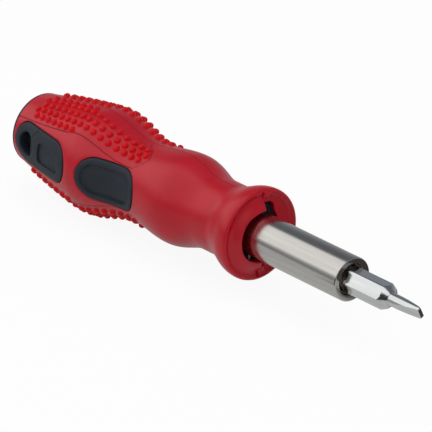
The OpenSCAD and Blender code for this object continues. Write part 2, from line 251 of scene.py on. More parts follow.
class Nodes:
    """A node tree, with one method that makes any node."""

    def __init__(self, tree):
        self.tree = tree

    def node(self, kind, settings=None, inputs=None, output=0):
        """Makes a node: its settings first, then values or links for its sockets."""
        made = self.tree.nodes.new(kind)
        for key, value in (settings or {}).items():
            setattr(made, key, value)
        for key, value in (inputs or {}).items():
            if isinstance(value, Val):
                self.tree.links.new(value.socket, made.inputs[key])
            else:
                made.inputs[key].default_value = value
        return Val(self, made.outputs[output])

    def place(self, scale=(1, 1, 1)):
        """Object coordinates stretched by scale, so that a larger scale gives a finer pattern."""
        here = self.node("ShaderNodeTexCoord", output="Object")
        return self.node("ShaderNodeMapping", {}, {"Vector": here, "Scale": scale})

    def noise(self, scale, detail=3.0, rough=0.5, stretch=(1, 1, 1), output=0):
        return self.node("ShaderNodeTexNoise", {}, {"Vector": self.place(stretch), "Scale": scale,
                                                    "Detail": detail, "Roughness": rough}, output)

    def mix(self, factor, low, high):
        """Mix of two colours."""
        return self.node("ShaderNodeMix", {"data_type": "RGBA"}, {"Factor": factor, 6: low, 7: high}, 2)


class Surface(Nodes):
    """A material on one Principled shader."""

    def __init__(self, name, **sockets):
        self.material = bpy.data.materials.new(name)
        self.material.use_nodes = True
        super().__init__(self.material.node_tree)
        self.shader = self.tree.nodes["Principled BSDF"]
        for key, value in sockets.items():
            self.feed(key.replace("_", " "), value)

    def feed(self, socket, value):
        """Sets one of the shader's sockets to a value or links it."""
        target = self.shader.inputs[socket]
        if isinstance(value, Val):
            self.tree.links.new(value.socket, target)
        else:
            target.default_value = value

    def bump(self, height, strength, distance):
        self.feed("Normal", self.node("ShaderNodeBump", {}, {"Strength": strength, "Distance": distance,
                                                             "Height": height}))


def rubber(name, deep, pale, shine, index):
    """Soft rubber: two close reds in slow patches, painted shade along its grooves and seam, and a fine matt
    grain.
    """
    s = Surface(name)
    patches = s.noise(140.0, 2.0).remap(0.35, 0.65)
    red = s.mix(patches, deep, pale)
    # Painted shade: the red darkens where the mesh's mark says a groove or the seam runs
    painted_crease_shade = s.node("ShaderNodeAttribute", {"attribute_name": "painted_crease_shade"}, output="Fac")
    s.feed("Base Color", s.mix(painted_crease_shade, red, (deep[0] * 0.45, deep[1] * 0.45, deep[2] * 0.45, 1)))
    s.feed("Roughness", s.noise(900.0, 2.0).remap(0.3, 0.7, shine - 0.01, shine + 0.05))
    s.feed("IOR", index)
    s.bump(s.noise(2600.0, 2.0), 0.12, 0.00006)
    return s.material


def moulded(name, colour, shine, grain):
    """Moulded plastic: an even dark colour with a fine pebbled grain."""
    s = Surface(name)
    patches = s.noise(220.0, 2.0).remap(0.3, 0.7)
    s.feed("Base Color", s.mix(patches, colour, tuple(c * 1.25 for c in colour[:3]) + (1,)))
    s.feed("Roughness", s.noise(1500.0, 2.0).remap(0.3, 0.7, shine - 0.06, shine + 0.06))
    s.feed("IOR", 1.4)
    s.bump(s.noise(2200.0, 3.0), grain, 0.00005)
    return s.material


def metal(name, colour, dull, shine, stretch, speckle):
    """Plated metal: lengthwise drawing marks, small specks, and patches a little duller than the rest."""
    s = Surface(name, Metallic=1.0)
    streaks = s.noise(900.0, 3.0, stretch=stretch)
    specks = s.noise(2400.0, 2.0).remap(0.62, 0.7)
    tone = (streaks.remap(0.3, 0.7) * 0.6 + specks * speckle).clip()
    s.feed("Base Color", s.mix(tone, colour, dull))
    s.feed("Roughness", streaks.remap(0.3, 0.7, shine - 0.04, shine + 0.05))
    s.bump(streaks, 0.05, 0.00003)
    return s.material


RED = rubber("red_rubber", (0.37, 0.0004, 0.009, 1), (0.41, 0.0006, 0.012, 1), 0.29, 1.45)
# The nubs' red is the skin's red made brighter: painted light standing in for light glowing through the small
# domes
NUB_RED = rubber("nub_rubber", (0.50, 0.0004, 0.004, 1), (0.56, 0.0006, 0.006, 1), 0.29, 1.27)
CHARCOAL = moulded("charcoal_plastic", (0.010, 0.0145, 0.021, 1), 0.55, 0.25)
NOSE_BLACK = moulded("nose_plastic", (0.008, 0.008, 0.011, 1), 0.55, 0.15)
NICKEL = metal("satin_nickel", (0.68, 0.66, 0.63, 1), (0.55, 0.53, 0.50, 1), 0.19, (0.06, 1, 1), 0.5)
CHROME = metal("bright_chrome", (0.80, 0.82, 0.82, 1), (0.66, 0.68, 0.68, 1), 0.14, (0.08, 1, 1), 0.4)
SOCKET = metal("sintered_socket", (0.34, 0.27, 0.22, 1), (0.20, 0.16, 0.13, 1), 0.34, (1, 1, 1), 0.6)
SPRING = metal("spring_wire", (0.42, 0.42, 0.43, 1), (0.30, 0.30, 0.31, 1), 0.33, (0.1, 1, 1), 0.3)


# Rubber grip

FRONT_DEPTH = 7.0
RECESS_R = 8.45
# The near half of the front face: X past the rim and radius, from the rim in to the recess round the nose
NEAR_PROFILE = np.array([
    (-1.2, 12.6), (-0.7, 12.56), (-0.32, 12.42), (-0.08, 12.12), (0.0, 11.8), (-0.12, 11.5),
    (-0.3, 11.1), (-0.38, 10.6), (-0.1, 9.95), (0.3, 9.4), (0.75, 8.85), (1.15, 8.35),
    (1.4, 7.98), (1.45, 7.74), (1.3, 7.5), (0.9, 7.39), (-2.2, 7.35), (-2.2, RECESS_R),
    (-FRONT_DEPTH, RECESS_R)])
# The far half: X past the rim, row by row, the radii of its outer rows, and how far the inner rows
# stand off the opening
FAR_LEVEL = (-1.2, -0.7, -0.32, -0.08, 0.0, -0.3, -0.8, -0.98, -1.0, -1.0, -1.0, -1.0, -1.0, -1.06,
             -1.2, -1.5, -2.2, -2.2, -FRONT_DEPTH)
FAR_OUTER = (12.6, 12.56, 12.42, 12.12, 11.8, 11.5, 11.15, 10.75)
OPENING_EASE = (0.6, 0.35, 0.22, 0.08, 0.01, 0.0, 0.0)
# Angle from the parting plane and radius of the far side's opening round the shaft
OPENING_DEG = (0.0, 22.0, 28.0, 47.0, 66.0, 90.0)
OPENING_R = (9.0, 9.0, 8.9, 7.4, 7.14, 7.05)
# The ribs beside the step: they end between these angles from the parting plane, and stand in these rows
RIB_DEG = (11.0, 18.0)
RIB_RISE = 1.0
RIB_ROWS = slice(5, 15)
RIB_FADE_R, RIB_FADE = 12.3, 0.6
# The near lip comes this much closer to the shaft towards the parting plane
LIP_CLOSER, LIP_OUTER, LIP_FADE = 0.5, 8.9, 0.9
LIP_FROM_DEG, LIP_TO_DEG = 35, 75

# Columns of a quarter of the handle: from a window's middle to the field's edge, and on to the seam
LOW_COLUMNS, HIGH_COLUMNS = 16, 32
# Angle between the close columns on the field's edge, the groove's depth and half width, and the seam's
GROOVE_STEP = 0.75
GROOVE_DEPTH, GROOVE_DEG, GROOVE_LENGTH = 0.14, 0.5, 0.3
SEAM_RISE, SEAM_DEG = 0.09, 0.9
# How much painted shade the seam's line gets, as a share of a groove's
SEAM_PAINTED_SHADE = 0.6
GROOVE_FROM, SEAM_FROM = 40, 2
QUARTER = LOW_COLUMNS + 3 + HIGH_COLUMNS - 1
COLUMNS = 4 * QUARTER
EDGE_COLUMN = LOW_COLUMNS
# Stretches behind the rim with their numbers of rows; windows take out the fifth and the last stretch
ROW_KNOTS = ((1.5, 11.2, 20), (11.2, 16.2, 7), (16.2, 28.8, 24), (28.8, 36.4, 16), (36.4, 59.6, 58),
             (59.6, 61.4, 5), (61.4, 88.6, 66))
ROW_S = np.concatenate([np.linspace(a, b, n, endpoint=False) for a, b, n in ROW_KNOTS] + [[RUBBER_END]])
ROW_FIRST = np.cumsum([0] + [n for _, _, n in ROW_KNOTS])
MID_ROWS = (ROW_FIRST[4], ROW_FIRST[5])
REAR_ROWS = (ROW_FIRST[6], ROW_FIRST[7])

# Between a pad and the rubber, and the rubber's rounded lip: distance out from the gap and drop
WINDOW_GAP = 0.08
LIP_STEPS = ((0.25, 0.0), (0.12, -0.05), (0.03, -0.14), (0.0, -0.3))
# Shares of the way from the lip to the grid's cells that get a loop, and the most of that room a lip takes
FAN_SHARES = (0.75, 0.45, 0.2)
LIP_SHARE = 0.45


def field_edge(s):
    """Angle of the lower edge of the nubs at s behind the rim."""
    return smooth_interp(s, FIELD_AT, FIELD_DEG)


def column_angles(s):
    """Angles of all columns at each s, in degrees round the tool: row by row, as many for each quarter.

    In a quarter the columns first share out the angle up to the field's edge, less a small step,
    then come three close ones on the edge, and the rest share out the angle up to the seam.
    """
    edge = field_edge(s)[:, None]
    low = np.linspace(0, 1, LOW_COLUMNS, endpoint=False)
    high = np.linspace(0, 1, HIGH_COLUMNS + 1)[1:]
    below = (edge - GROOVE_STEP) * low[None, :]
    close = edge + np.array([-GROOVE_STEP, 0, GROOVE_STEP])[None, :]
    above = edge + GROOVE_STEP + (90 - edge - GROOVE_STEP) * high[None, :]
    quarter = np.concatenate([below, close, above], 1)
    half = np.concatenate([quarter, 180 - quarter[:, -2::-1]], 1)
    return np.concatenate([half[:, :-1], half[:, :-1] + 180], 1)


def skin_lift(s, degrees):
    """Height of the skin over the body, and how much painted shade darkens its colour there.

    A groove runs round each field of nubs and a fine seam along the parting plane; both are bell
    curves across their lines.
    """
    up = np.abs((degrees + 90) % 180 - 90)
    on_edge = np.exp(-((up - field_edge(s)) / GROOVE_DEG) ** 2) * np.clip((s - GROOVE_FROM) / 2, 0, 1)
    front = smooth_interp(up, FRONT_DEG, FRONT_AT)
    on_front = np.exp(-((s - front) / GROOVE_LENGTH) ** 2) * (up > 36) * (up < 82)
    groove = np.maximum(on_edge, on_front)
    seam = np.exp(-((90 - up) / SEAM_DEG) ** 2) * np.clip((s - SEAM_FROM) / 4, 0, 1)
    # The second value is painted shade: full in a groove, a share of it on the seam
    return SEAM_RISE * seam - GROOVE_DEPTH * groove, np.maximum(groove, SEAM_PAINTED_SHADE * seam)


def ring_of(rows, side):
    """Row and column numbers round the block of cells that a window takes out, once round."""
    top, bottom = rows
    centre = 0 if side < 0 else 2 * QUARTER
    across = np.arange(-EDGE_COLUMN, EDGE_COLUMN)
    down = np.arange(top, bottom)
    i = np.concatenate([np.full(across.size, top), down, np.full(across.size, bottom), down[::-1] + 1])
    j = np.concatenate([across, np.full(down.size, EDGE_COLUMN), -across, np.full(down.size, -EDGE_COLUMN)])
    return i, (j + centre) % COLUMNS


def window_loops(outer, window, lift, side, detailed):
    """Loops from the grid's cells in to a window's outline, each at one distance from its middle line.

    The outside wall gets a few loops across the room left by the cells and a rounded lip; the inside
    wall gets only the outline.
    """
    r, xa, xb = window
    x, z = outer[:, 0], outer[:, 2]
    middle = np.clip(x, xa, xb)
    reach = np.hypot(x - middle, z)
    ux, uz = (x - middle) / reach, z / reach
    wall = r + WINDOW_GAP
    most = (reach - wall) * LIP_SHARE
    lip = np.minimum(LIP_STEPS[0][0], most)
    steps = [(0.0, 0.0)]
    if detailed:
        steps = [(lip + share * (reach - wall - lip), 0.0) for share in FAN_SHARES]
        steps += [(np.minimum(out, most), drop) for out, drop in LIP_STEPS]
    loops = [seen_from_side(middle + (wall + out) * ux, (wall + out) * uz, lift + drop, side)
             for out, drop in steps]
    return np.stack([outer] + loops)


def barrel(shell, lift, detailed):
    """The handle's outside or inside wall: rows behind the rim by columns round it, less four windows.

    Returns the grid's points and, for each window, the loop where its wall begins.
    """
    angles = column_angles(ROW_S)
    s = ROW_S[:, None]
    # skin_lift also gives the painted shade of the grooves and seam, kept as each point's mark
    extra, painted_crease_shade = skin_lift(s, angles)
    points = round_body(RIM_X - s, np.radians(angles), lift + extra * detailed)
    keep = np.ones((len(ROW_S) - 1, COLUMNS), bool)
    for top, bottom in (MID_ROWS, REAR_ROWS):
        for centre in (0, 2 * QUARTER):
            cells = (np.arange(-EDGE_COLUMN, EDGE_COLUMN) + centre) % COLUMNS
            keep[top:bottom, cells] = False
    shell.add(points, ring=True, flip=not detailed, keep=keep, mark=painted_crease_shade * detailed)
    walls = []
    windows = ((MID_ROWS, (MID_R, MID_XA, MID_XB)), (REAR_ROWS, (REAR_R, REAR_XA, REAR_XB)))
    for rows, window in windows:
        for side in (-1, 1):
            i, j = ring_of(rows, side)
            grid = window_loops(points[i, j], window, lift, side, detailed)
            mark = np.zeros(grid.shape[:2])
            mark[0] = painted_crease_shade[i, j] * detailed
            shell.add(grid, ring=True, flip=(side > 0) != (not detailed), mark=mark)
            walls.append(grid[-1])
    return points, walls


def ease(share):
    """Smooth step: 3 t squared minus 2 t cubed, for a share clipped to 0..1."""
    share = np.clip(share, 0, 1)
    return share * share * (3 - 2 * share)


def near_profile(degrees):
    """X and radius of the near face: one profile, whose lip leans to the shaft toward the parting plane."""
    x = np.broadcast_to(NEAR_PROFILE[:, :1], (len(NEAR_PROFILE), degrees.size))
    on_lip = np.clip((LIP_OUTER - NEAR_PROFILE[:, 1:]) / LIP_FADE, 0, 1) * (NEAR_PROFILE[:, :1] > -1)
    from_middle = np.abs((degrees + 180) % 360 - 180)
    to_seam = ease((from_middle - LIP_FROM_DEG) / (LIP_TO_DEG - LIP_FROM_DEG))
    return x, NEAR_PROFILE[:, 1:] - LIP_CLOSER * on_lip * to_seam


def far_profile(degrees):
    """X and radius of the far face for each column, from the rim to the back of the nose's recess."""
    from_seam = 90 - np.abs((degrees + 90) % 180 - 90)
    edge = smooth_interp(from_seam, OPENING_DEG, OPENING_R)[None, :]
    outer = np.broadcast_to(np.array(FAR_OUTER)[:, None], (len(FAR_OUTER), degrees.size))
    inner = edge + np.array(OPENING_EASE)[:, None]
    between = outer[-1:] + np.array([[1 / 3], [2 / 3]]) * (inner[:1] - outer[-1:])
    back = np.maximum(edge, RECESS_R)
    r = np.concatenate([outer, between, inner, back, back])
    x = np.broadcast_to(np.array(FAR_LEVEL)[:, None], r.shape).copy()
    rib = ease((RIB_DEG[1] - from_seam) / (RIB_DEG[1] - RIB_DEG[0]))
    fade = np.clip((RIB_FADE_R - r[RIB_ROWS]) / RIB_FADE, 0, 1)
    x[RIB_ROWS] += RIB_RISE * rib[None, :] * fade
    return x, r


def make_grip():
    """The red rubber: outside wall, dished front stepped at the parting plane, inside wall, rear edge."""
    shell = Shell()
    outside, outer_walls = barrel(shell, 0.0, True)
    inside, inner_walls = barrel(shell, -RUBBER_T, False)
    for k, (outer, inner) in enumerate(zip(outer_walls, inner_walls)):
        shell.add(np.stack([outer, inner]), ring=True, flip=k % 2 == 1)
    shell.add(np.stack([outside[-1], inside[-1]]), ring=True)
    degrees = column_angles(ROW_S[:1])[0]
    near = np.arange(-QUARTER, QUARTER + 1) % COLUMNS
    far = np.arange(QUARTER, 3 * QUARTER + 1) % COLUMNS
    faces = []
    for columns, profile in ((near, near_profile), (far, far_profile)):
        angle = np.radians(degrees[columns])
        x, r = profile(degrees[columns])
        face = np.stack([RIM_X + x, -r * np.cos(angle), r * np.sin(angle)], -1)
        face = np.concatenate([outside[0][columns][None], face, inside[0][columns][None]])
        shell.add(face, flip=True)
        faces.append(face)
    near_face, far_face = faces
    shell.add(np.stack([near_face[:, -1], far_face[:, 0]]))
    shell.add(np.stack([far_face[:, -1], near_face[:, 0]]))
    # The mark becomes the point attribute that carries the painted shade of grooves and seam
    return make_piece("soft_grip_rubber", shell, RED, "handle", ("soft_grip",),
                      attribute="painted_crease_shade")


def nub_places():
    """Places of all nubs, in four mirrored fields: distance behind the rim, angle from the near side."""
    s_all, up_all = [], []
    for row, from_top in enumerate(NUB_ROWS):
        short = row in (0, len(NUB_ROWS) - 1)
        start = NUB_SHORT if short else NUB_FRONT + (row % 2) * NUB_PITCH / 2
        s = np.arange(start, NUB_END + 1e-6, NUB_PITCH)
        spread = NUB_SPREAD * smooth_interp(s, (NUB_SPREAD_AT, NUB_SHORT), (1, 0))
        s_all.append(s)
        up_all.append(90 - (from_top + spread))
    s, up = np.concatenate(s_all), np.concatenate(up_all)
    return np.tile(s, 4), np.concatenate([up, 180 - up, 180 + up, -up])


def make_nubs():
    """Domed nubs with a small fillet at the foot: one dome of revolution stood on every place.

    A point is base + r (cos t along + sin t aside) + h out, where along follows the handle's slope.
    """
    s, degrees = nub_places()
    x = RIM_X - s
    angle = np.radians(degrees)
    base = round_body(x, angle)
    out = np.stack([np.zeros_like(x), -np.cos(angle), np.sin(angle)], -1)
    slope = body_radius(x + 0.5) - body_radius(x - 0.5)
    along = np.array([1.0, 0, 0]) + slope[:, None] * out
    along /= np.linalg.norm(along, axis=1, keepdims=True)
    aside = np.cross(out, along)
    out = np.cross(along, aside)
    rise = np.radians([0, 22, 45, 68, 90])
    r = np.concatenate([NUB_R + NUB_FOOT[:, 0], NUB_R * np.cos(rise)])
    h = np.concatenate([NUB_FOOT[:, 1], NUB_BELLY + (NUB_H - NUB_BELLY) * np.sin(rise)])
    turn = np.arange(NUB_SIDES) * TAU / NUB_SIDES
    ring = np.stack([np.outer(r, np.cos(turn)), np.outer(r, np.sin(turn)),
                     np.broadcast_to(h[:, None], (r.size, turn.size))], -1)
    frames = np.stack([along, aside, out], 1)
    points = base[:, None, None, :] + np.einsum("ijk,nkc->nijc", ring, frames)
    shell = Shell()
    for nub in points:
        shell.add(nub, ring=True)
    return make_piece("grip_nubs", shell, NUB_RED, "handle", crisp=60)


# Charcoal pieces

PAD_PROUD = 0.22
PAD_GAP = 0.08
PAD_DEPTH = 1.6
# Edge of a pad, from its foot up and over its rounding: inset and height over the body
PAD_EDGE = ((0.0, -PAD_DEPTH), (0.0, PAD_PROUD - 0.35), (0.06, PAD_PROUD - 0.16), (0.18, PAD_PROUD - 0.05),
            (0.38, PAD_PROUD))
# From the border of a middle pad down into its sunk panel: inset and drop
MID_STEPS = ((1.55, 0.0), (1.66, -0.05), (1.78, -0.5), (1.9, -0.6), (3.2, -0.6), (4.6, -0.6))
MID_ROUND, MID_SIDE = 44, 24

# The panel in a rear pad: its rear and front end, half height and corners; the pad's two patches meet
# on a line at SPLIT_X
PANEL_XA, PANEL_XB, PANEL_R = 6.3, 16.1, 2.75
PANEL_CORNER = 0.9
PANEL_OPENS = 0.12
SPLIT_X = 4.9
# Points on the split line, on each side of the pad ahead of it and behind it, and round both ends
SPLIT_COUNT, AHEAD_COUNT, FRONT_COUNT, BEHIND_COUNT, REAR_COUNT = 28, 26, 28, 11, 40
# Loops across the border, as shares, and then steps down into the panel or the hole
PANEL_SHARES, PANEL_STEPS = (0, 0.3, 0.6, 0.85, 1), ((0.0, -0.05), (0.08, -0.5), (0.2, -0.58))
MOUTH_SHARES, MOUTH_STEPS = (0, 0.35, 0.7, 1), ((0.3, -0.06), (0.12, -0.22), (0.0, -0.5))
HOLE_WALL_Y = 4.0

CAP_EDGE = 0.9
CAP_ROOT = 4.4
ROOT_GAP = 0.1

# The core's nose with its slot for the cross pin, the shaft's bore and the stored bit's pocket
NOSE_R, NOSE_BORE, NOSE_FACE, NOSE_LENGTH = 8.4, 6.02, 79.75, 12
NOSE_EDGE = 0.3
SLOT_FLOOR, SLOT_HALF = 75.2, 1.8
BORE_END = 36.7
POCKET_R, POCKET_END = 4.4, 9.0
CORE_REAR = 4.4

ROUND_COUNT = 96
ROUND_TURN = np.arange(ROUND_COUNT) * TAU / ROUND_COUNT


def stadium(xa, xb, n_round, n_side):
    """Middles and outward directions round a stadium: rear end, top side, front end, bottom side."""
    rear = np.linspace(math.pi * 1.5, math.pi * 0.5, n_round, endpoint=False)
    front = np.linspace(math.pi * 0.5, -math.pi * 0.5, n_round, endpoint=False)
    top = np.linspace(xa, xb, n_side, endpoint=False)
    bottom = np.linspace(xb, xa, n_side, endpoint=False)
    middle = np.concatenate([np.full(n_round, xa), top, np.full(n_round, xb), bottom])
    angle = np.concatenate([rear, np.full(n_side, math.pi / 2), front, np.full(n_side, -math.pi / 2)])
    return middle, np.cos(angle), np.sin(angle)


def make_mid_pads():
    """Middle pads: loops of a stadium, inwards over a rounded edge, a flat border and a sunk panel."""
    middle, ux, uz = stadium(MID_XA, MID_XB, MID_ROUND, MID_SIDE)
    steps = list(PAD_EDGE) + [(inset, PAD_PROUD + drop) for inset, drop in MID_STEPS]
    floor = PAD_PROUD + MID_STEPS[-1][1]
    r = MID_R - PAD_GAP
    shell = Shell()
    for side in (-1, 1):
        loops = [seen_from_side(middle, 0 * uz, floor, side)]
        for inset, lift in reversed(steps):
            loops.append(seen_from_side(middle + (r - inset) * ux, (r - inset) * uz, lift, side))
        loops.append(seen_from_side(middle, 0 * uz, -PAD_DEPTH, side))
        shell.add(np.stack(loops), ring=True, flip=side > 0)
    return make_piece("middle_pads", shell, CHARCOAL, "handle")


def panel_loop(inset):
    """A rectangle with rounded corners, as x and z: rear side upwards, top, front side down, bottom.

    Points on the square outline beyond a corner's middle are drawn in to the corner's circle.
    """
    corner = max(PANEL_CORNER - inset, 0.05)
    xa, xb, half = PANEL_XA + inset, PANEL_XB - inset, PANEL_R - inset
    along = xa + np.linspace(0, 1, AHEAD_COUNT, endpoint=False) * (xb - xa)
    rear = np.linspace(-half, half, SPLIT_COUNT, endpoint=False)
    front = np.linspace(half, -half, FRONT_COUNT, endpoint=False)
    x = np.concatenate([np.full(SPLIT_COUNT, xa), along, np.full(FRONT_COUNT, xb), xa + xb - along])
    z = np.concatenate([rear, np.full(AHEAD_COUNT, half), front, np.full(AHEAD_COUNT, -half)])
    cx, cz = np.clip(x, xa + corner, xb - corner), np.clip(z, -half + corner, half - corner)
    dx, dz = x - cx, z - cz
    reach = np.maximum(np.hypot(dx, dz), 1e-9)
    beyond = (np.abs(dx) > 1e-9) & (np.abs(dz) > 1e-9)
    shrink = np.where(beyond, corner / reach, 1.0)
    return cx + dx * shrink, cz + dz * shrink


def half_outline(x_end, n_side, n_round, start):
    """Middles and angles of the pad's outline on one side of the split line: out, round an end, back."""
    side = np.linspace(SPLIT_X, x_end, n_side + 1)
    arc = np.linspace(start, start - math.pi, n_round + 1)
    middle = np.concatenate([side[:-1], np.full(n_round, x_end), side[::-1]])
    angle = np.concatenate([np.full(n_side, start), arc[:-1], np.full(n_side + 1, start - math.pi)])
    return middle, angle


def panel_patch(x, z, side):
    """Loops from a closed outline in to the panel, down its wall and across its floor to a line."""
    panel_x, panel_z = panel_loop(-PANEL_OPENS)
    loops = []
    for share in PANEL_SHARES:
        loops.append(seen_from_side(x + share * (panel_x - x), z + share * (panel_z - z), PAD_PROUD, side))
    for inset, drop in PANEL_STEPS:
        floor_x, floor_z = panel_loop(inset)
        loops.append(seen_from_side(floor_x, floor_z, PAD_PROUD + drop, side))
    line_x = np.clip(panel_x, PANEL_XA + PANEL_R, PANEL_XB - PANEL_R)
    for share in (0.5, 1):
        loops.append(seen_from_side(floor_x + share * (line_x - floor_x), floor_z * (1 - share),
                                    PAD_PROUD + drop, side))
    return np.stack(loops[::-1])


def hole_patch(x, z, side):
    """Loops along rays from a closed outline in to the hole's rounded mouth and down its wall."""
    ray = np.arctan2(z, x)
    mouth_x, mouth_z = (HOLE_R + HOLE_LEAD) * np.cos(ray), (HOLE_R + HOLE_LEAD) * np.sin(ray)
    loops = []
    for share in MOUTH_SHARES:
        loops.append(seen_from_side(x + share * (mouth_x - x), z + share * (mouth_z - z), PAD_PROUD, side))
    for out, drop in MOUTH_STEPS:
        r = HOLE_R + out
        loops.append(seen_from_side(r * np.cos(ray), r * np.sin(ray), PAD_PROUD + drop, side))
    for y in (HOLE_WALL_Y, 0.0):
        loops.append(np.stack([loops[-1][:, 0], np.full(ray.size, side * y), loops[-1][:, 2]], -1))
    return np.stack(loops[::-1])


def make_rear_pads():
    """Rear pads with the lanyard hole's wall: a patch round the hole and a patch round a sunk panel.

    Both patches meet on a straight line across the pad and share the points of the pad's rounded edge.
    """
    ahead = half_outline(REAR_XB, AHEAD_COUNT, FRONT_COUNT, math.pi / 2)
    behind = half_outline(0.0, BEHIND_COUNT, REAR_COUNT, -math.pi / 2)
    middle, angle = (np.concatenate([a[:-1], b[:-1]]) for a, b in zip(ahead, behind))
    ux, uz = np.cos(angle), np.sin(angle)
    r = REAR_R - PAD_GAP
    flat = r - PAD_EDGE[-1][0]
    split_z = np.linspace(-flat, flat, SPLIT_COUNT + 1)[:-1]
    split_x = np.full(SPLIT_COUNT, SPLIT_X)
    ahead_x, ahead_z = (ahead[0] + flat * np.cos(ahead[1]))[:-1], flat * np.sin(ahead[1])[:-1]
    behind_x, behind_z = (behind[0] + flat * np.cos(behind[1]))[:-1], flat * np.sin(behind[1])[:-1]
    shell = Shell()
    for side in (-1, 1):
        rim = [seen_from_side(middle + (r - inset) * ux, (r - inset) * uz, lift, side)
               for inset, lift in reversed(PAD_EDGE)]
        rim.append(seen_from_side(middle + HOLE_R * ux, HOLE_R * uz, -PAD_DEPTH, side))
        shell.add(np.stack(rim), ring=True, flip=side > 0)
        around_panel = np.concatenate([split_x, ahead_x]), np.concatenate([split_z, ahead_z])
        shell.add(panel_patch(*around_panel, side), ring=True, flip=side > 0)
        around_hole = np.concatenate([behind_x, split_x]), np.concatenate([behind_z, split_z])
        shell.add(hole_patch(*around_hole, side), ring=True, flip=side > 0)
    return make_piece("rear_pads_and_eye", shell, CHARCOAL, "handle", crisp=45)


def make_end_cap():
    """The dark end of the core: a short drum with a rounded edge, turned about the long axis.

    Its edge is a quarter circle: x = END_X + e (1 - sin a) and r = END_R - e (1 - cos a).
    """
    a = np.radians(np.arange(0, 91, 15))
    root_r = END_R - RUBBER_T - ROOT_GAP
    joint_x = RIM_X - RUBBER_END
    x = np.concatenate([[joint_x + CAP_ROOT] * 2, [joint_x] * 2, END_X + CAP_EDGE * (1 - np.sin(a)), [END_X]])
    r = np.concatenate([[0, root_r, root_r, END_R + 0.02], END_R - CAP_EDGE * (1 - np.cos(a)), [0]])
    shell = Shell()
    shell.add(lathe(x, r, ROUND_TURN), ring=True)
    return make_piece("core_end", shell, CHARCOAL, "handle")


def make_core_body():
    """The hidden core: a turned wall between rubber and bore, and two jaws of the nose beside the slot.

    A jaw is its profile turned through the angles at which it stays SLOT_HALF from the slot's middle.
    """
    s = np.linspace(RIM_X - SLOT_FLOOR, RIM_X - CORE_REAR, 40)
    outer = body_radius(RIM_X - s) - RUBBER_T - ROOT_GAP
    outer = np.where(s < NOSE_LENGTH, np.minimum(outer, NOSE_R), outer)
    x = np.concatenate([[SLOT_FLOOR], RIM_X - s,
                        [CORE_REAR, POCKET_END, POCKET_END, BORE_END, BORE_END, SLOT_FLOOR]])
    r = np.concatenate([[NOSE_BORE], outer, [0.0, 0.0, POCKET_R, POCKET_R, NOSE_BORE, NOSE_BORE]])
    shell = Shell()
    shell.add(lathe(x, r, ROUND_TURN), ring=True)
    jaw_r = np.array([NOSE_BORE, NOSE_BORE, NOSE_BORE + NOSE_EDGE, NOSE_R - NOSE_EDGE, NOSE_R, NOSE_R,
                      NOSE_BORE])
    jaw_x = np.array([SLOT_FLOOR, NOSE_FACE - NOSE_EDGE, NOSE_FACE, NOSE_FACE, NOSE_FACE - NOSE_EDGE,
                      SLOT_FLOOR, SLOT_FLOOR])
    turn = np.linspace(-1, 1, 49)
    for side in (-1, 1):
        reach = math.pi / 2 - np.arcsin(SLOT_HALF / jaw_r)
        angle = reach[:, None] * turn[None, :]
        y = side * jaw_r[:, None] * np.cos(angle)
        z = jaw_r[:, None] * np.sin(angle)
        jaw = np.stack(np.broadcast_arrays(jaw_x[:, None], y, z), -1)
        shell.add(jaw, flip=side < 0)
        for end, flip in ((0, side < 0), (-1, side > 0)):
            cap = np.stack([jaw[:4, end], jaw[[6, 5, 4, 3], end]])
            shell.add(cap, flip=flip)
    return make_piece("core_nose_and_bore", shell, NOSE_BLACK, "handle", ("handle_core",))


# Shaft and bits

TUBE_EDGE, TUBE_LEAD = 0.35, 0.15
# A socket's gap to the tube, its play round the hexagon, its corners, its mouth, its edges and end wall
SOCKET_GAP, SOCKET_PLAY, SOCKET_CORNER = 0.03, 0.2, 3.75
SOCKET_MOUTH, SOCKET_LEAD, SOCKET_EDGE = 3.7, 0.35, 0.12
SOCKET_WALL = 1.5
# The ring groove in a bit: half length and depth
GROOVE_HALF, GROOVE_IN = 0.5, 0.5
# The cross point: how deep its grooves are, the radii of its tip, and how far the tip's rounding reaches
CROSS_CUT, CROSS_SHARP = 0.30, 0.7
CROSS_TIP, CROSS_SHOULDER, CROSS_ROUND = 0.62, 0.85, 0.25
CROSS_SHARES = (0.35, 0.7)
NECK_FILLET = 0.12
BLADE_SHARES = (0.02, 0.06, 0.12, 0.25, 0.5, 0.75, 0.9)
BLADE_CORNER = 0.6


def make_tube():
    """The shaft: a plain tube with small rounded edges, turned about the long axis."""
    edge = np.radians(np.arange(0, 91, 22.5))
    front_r = TUBE_R - TUBE_EDGE + TUBE_EDGE * np.cos(edge)
    front_x = TUBE_FRONT - TUBE_EDGE + TUBE_EDGE * np.sin(edge)
    half_x = np.concatenate([front_x, [TUBE_FRONT, TUBE_FRONT - TUBE_LEAD]])
    half_r = np.concatenate([front_r, [TUBE_BORE + TUBE_LEAD, TUBE_BORE]])
    x = np.concatenate([half_x, (2 * TUBE_MID - half_x)[::-1], half_x[:1]])
    r = np.concatenate([half_r, half_r[::-1], half_r[:1]])
    shell = Shell()
    shell.add(lathe(x, r, np.arange(128) * TAU / 128), ring=True, flip=True)
    return make_piece("shaft_tube_shell", shell, NICKEL, "shaft", ("shaft_tube",), crisp=30)


def hexagon(af, corner):
    """Radius of a hexagon round the axis, corners on +-Y, cut off at the radius of its rounded corners."""
    off = (ROUND_TURN % (TAU / 6)) - TAU / 12
    return np.minimum(af / 2 / np.cos(off), corner)


def end_of(side, local_x):
    """X of a place measured from the shaft's front end, or from its rear end when side is -1."""
    return TUBE_MID + side * ((TUBE_FRONT - TUBE_REAR) / 2 + np.asarray(local_x, float))


def turned(side, rings):
    """Rings of points from pairs of place and radii: a ring has its own radius at every angle."""
    x = end_of(side, [at for at, _ in rings])[:, None]
    radii = np.stack([np.broadcast_to(r, ROUND_TURN.shape) for _, r in rings])
    return np.stack(np.broadcast_arrays(x, -radii * np.cos(ROUND_TURN), radii * np.sin(ROUND_TURN)), -1)


